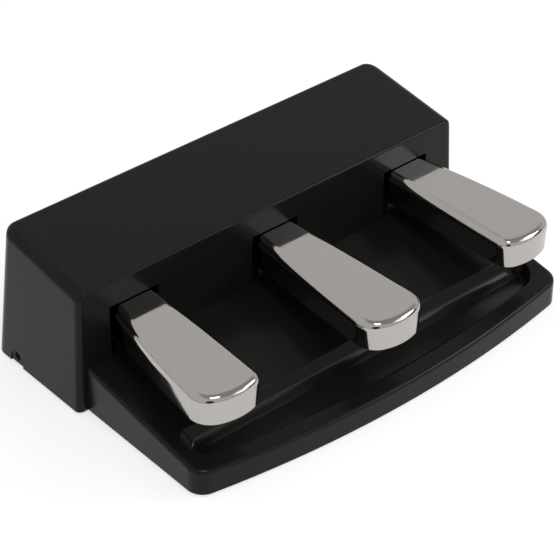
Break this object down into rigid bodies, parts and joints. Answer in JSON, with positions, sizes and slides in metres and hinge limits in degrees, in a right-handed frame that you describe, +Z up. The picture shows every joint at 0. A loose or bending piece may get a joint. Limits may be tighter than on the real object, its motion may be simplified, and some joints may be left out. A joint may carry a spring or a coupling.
{
  "type": "triple pedal unit",
  "caption": "Floor-standing pedal unit for a keyboard: chrome-plated foot levers hinged in a black sloped housing above a low apron, sprung back against felt stops.",
  "frame": {"origin": "centre of the bounding box in plan, on the plane under the feet", "axes": "+X to the right seen from the player, +Y from the pedal tips to the rear wall, +Z up"},
  "size_m": [0.3, 0.2006, 0.093],
  "materials": {
    "housing_plastic": "fine spark-eroded satin texture, black",
    "chrome_plate": "polished chrome plate on pressed steel",
    "arm_steel": "machined bar, oiled",
    "screw_steel": "zinc-plated",
    "pin_steel": "ground",
    "zinc_steel": "zinc-plated sheet",
    "spring_steel": "drawn wire, oiled",
    "plate_paint": "black powder coat",
    "bush_plastic": "self-lubricating, moulded",
    "block_plastic": "moulded",
    "sensor_plastic": "moulded",
    "header_plastic": "moulded",
    "board_laminate": "green solder mask",
    "rubber": "moulded",
    "felt": "pressed wool"
  },
  "bodies": {
    "housing": {"housing_cover": "housing_plastic", "base_apron": "housing_plastic", "bottom_plate": "plate_paint", "rubber_feet": "rubber", "cover_screws": "screw_steel", "apron_screws": "screw_steel", "frame_screws": "screw_steel", "circuit_board": "board_laminate", "board_spacers": "zinc_steel", "board_screws": "screw_steel", "cord_header": "header_plastic", "cord_gland": "rubber", "pedal_frame_left": "plate_paint", "seat_block_left": "block_plastic", "lower_cushion_left": "rubber", "upper_felt_left": "felt", "pivot_pin_left": "pin_steel", "pivot_clip_left": "spring_steel", "return_spring_left": "spring_steel", "light_sensor_left": "sensor_plastic", "pedal_frame_middle": "plate_paint", "seat_block_middle": "block_plastic", "lower_cushion_middle": "rubber", "upper_felt_middle": "felt", "pivot_pin_middle": "pin_steel", "pivot_clip_middle": "spring_steel", "return_spring_middle": "spring_steel", "light_sensor_middle": "sensor_plastic", "pedal_frame_right": "plate_paint", "seat_block_right": "block_plastic", "lower_cushion_right": "rubber", "upper_felt_right": "felt", "pivot_pin_right": "pin_steel", "pivot_clip_right": "spring_steel", "return_spring_right": "spring_steel", "light_sensor_right": "sensor_plastic"},
    "left_lever": {"pedal_left": "chrome_plate", "lever_arm_left": "arm_steel", "lever_screws_left": "screw_steel", "pivot_bush_left": "bush_plastic", "sensor_flag_left": "sensor_plastic"},
    "middle_lever": {"pedal_middle": "chrome_plate", "lever_arm_middle": "arm_steel", "lever_screws_middle": "screw_steel", "pivot_bush_middle": "bush_plastic", "sensor_flag_middle": "sensor_plastic"},
    "right_lever": {"pedal_right": "chrome_plate", "lever_arm_right": "arm_steel", "lever_screws_right": "screw_steel", "pivot_bush_right": "bush_plastic", "sensor_flag_right": "sensor_plastic"}
  },
  "joints": [
    {"name": "left_pedal_hinge", "type": "hinge", "parent": "housing", "child": "left_lever", "pos_m": [-0.1064, 0.0736, 0.0565], "axis": [1, 0, 0], "range_deg": [0, 6], "stiffness_Nm_per_rad": 11.2, "springref_deg": -16.96, "deforming": ["return_spring_left"]},
    {"name": "middle_pedal_hinge", "type": "hinge", "parent": "housing", "child": "middle_lever", "pos_m": [0, 0.0736, 0.0565], "axis": [1, 0, 0], "range_deg": [0, 6], "stiffness_Nm_per_rad": 11.2, "springref_deg": -16.96, "deforming": ["return_spring_middle"]},
    {"name": "right_pedal_hinge", "type": "hinge", "parent": "housing", "child": "right_lever", "pos_m": [0.1064, 0.0736, 0.0565], "axis": [1, 0, 0], "range_deg": [0, 6], "stiffness_Nm_per_rad": 11.2, "springref_deg": -16.96, "deforming": ["return_spring_right"]}
  ]
}
